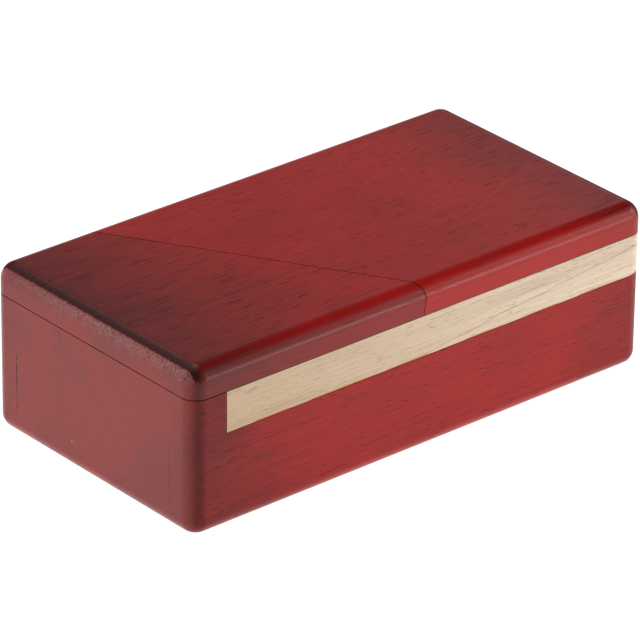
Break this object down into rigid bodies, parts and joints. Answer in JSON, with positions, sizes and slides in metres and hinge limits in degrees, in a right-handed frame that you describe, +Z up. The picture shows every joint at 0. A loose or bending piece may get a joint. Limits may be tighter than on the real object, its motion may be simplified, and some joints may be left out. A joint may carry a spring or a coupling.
{
  "type": "wooden puzzle box",
  "caption": "Low wooden puzzle box with rounded edges: a pale key bar draws out of its front, and its diagonally cut lid opens by sliding the wedge and swinging the main lid.",
  "frame": {"origin": "middle of the underside", "axes": "+X to the right along the front with the bar, +Y to the back, +Z up"},
  "size_m": [0.133, 0.07, 0.0411],
  "materials": {
    "red_wood": "satin red stain",
    "pale_wood": "satin clear",
    "raw_wood": "bare, sanded",
    "steel": "zinc plated"
  },
  "bodies": {
    "box": {"floor_panel": "red_wood", "front_wall": "red_wood", "back_wall": "red_wood", "left_end_block": "red_wood", "right_end_block": "red_wood", "left_deck": "red_wood", "front_guide_rail": "red_wood", "back_rail": "red_wood", "right_rail": "red_wood", "frame_dowels": "raw_wood", "corner_dowels": "raw_wood", "bar_stop_peg": "raw_wood"},
    "key_bar": {"key_bar": "pale_wood"},
    "bar_lock_pin": {"bar_lock_pin": "steel"},
    "lid_wedge": {"lid_wedge": "red_wood", "wedge_runner": "raw_wood", "runner_cap": "raw_wood", "runner_screws": "steel"},
    "seam_lock_pin": {"seam_lock_pin": "steel"},
    "lid_main": {"lid_main": "red_wood", "pivot_dowel": "raw_wood", "pivot_washer": "steel", "pivot_screw": "steel"}
  },
  "joints": [
    {"name": "bar_slide", "type": "slide", "parent": "box", "child": "key_bar", "axis": [1, 0, 0], "range_m": [0, 0.06]},
    {"name": "bar_pin_slide", "type": "slide", "parent": "box", "child": "bar_lock_pin", "axis": [0, -1, 0], "range_m": [0, 0.004]},
    {"name": "wedge_slide", "type": "slide", "parent": "box", "child": "lid_wedge", "axis": [0.5208, -0.8537, 0], "range_m": [0, 0.028]},
    {"name": "seam_pin_slide", "type": "slide", "parent": "lid_wedge", "child": "seam_lock_pin", "axis": [0.8537, 0.5208, 0], "range_m": [0, 0.005]},
    {"name": "lid_swing", "type": "hinge", "parent": "box", "child": "lid_main", "pos_m": [0.054, -0.018, 0.0311], "axis": [0, 0, -1], "range_deg": [0, 110]}
  ]
}
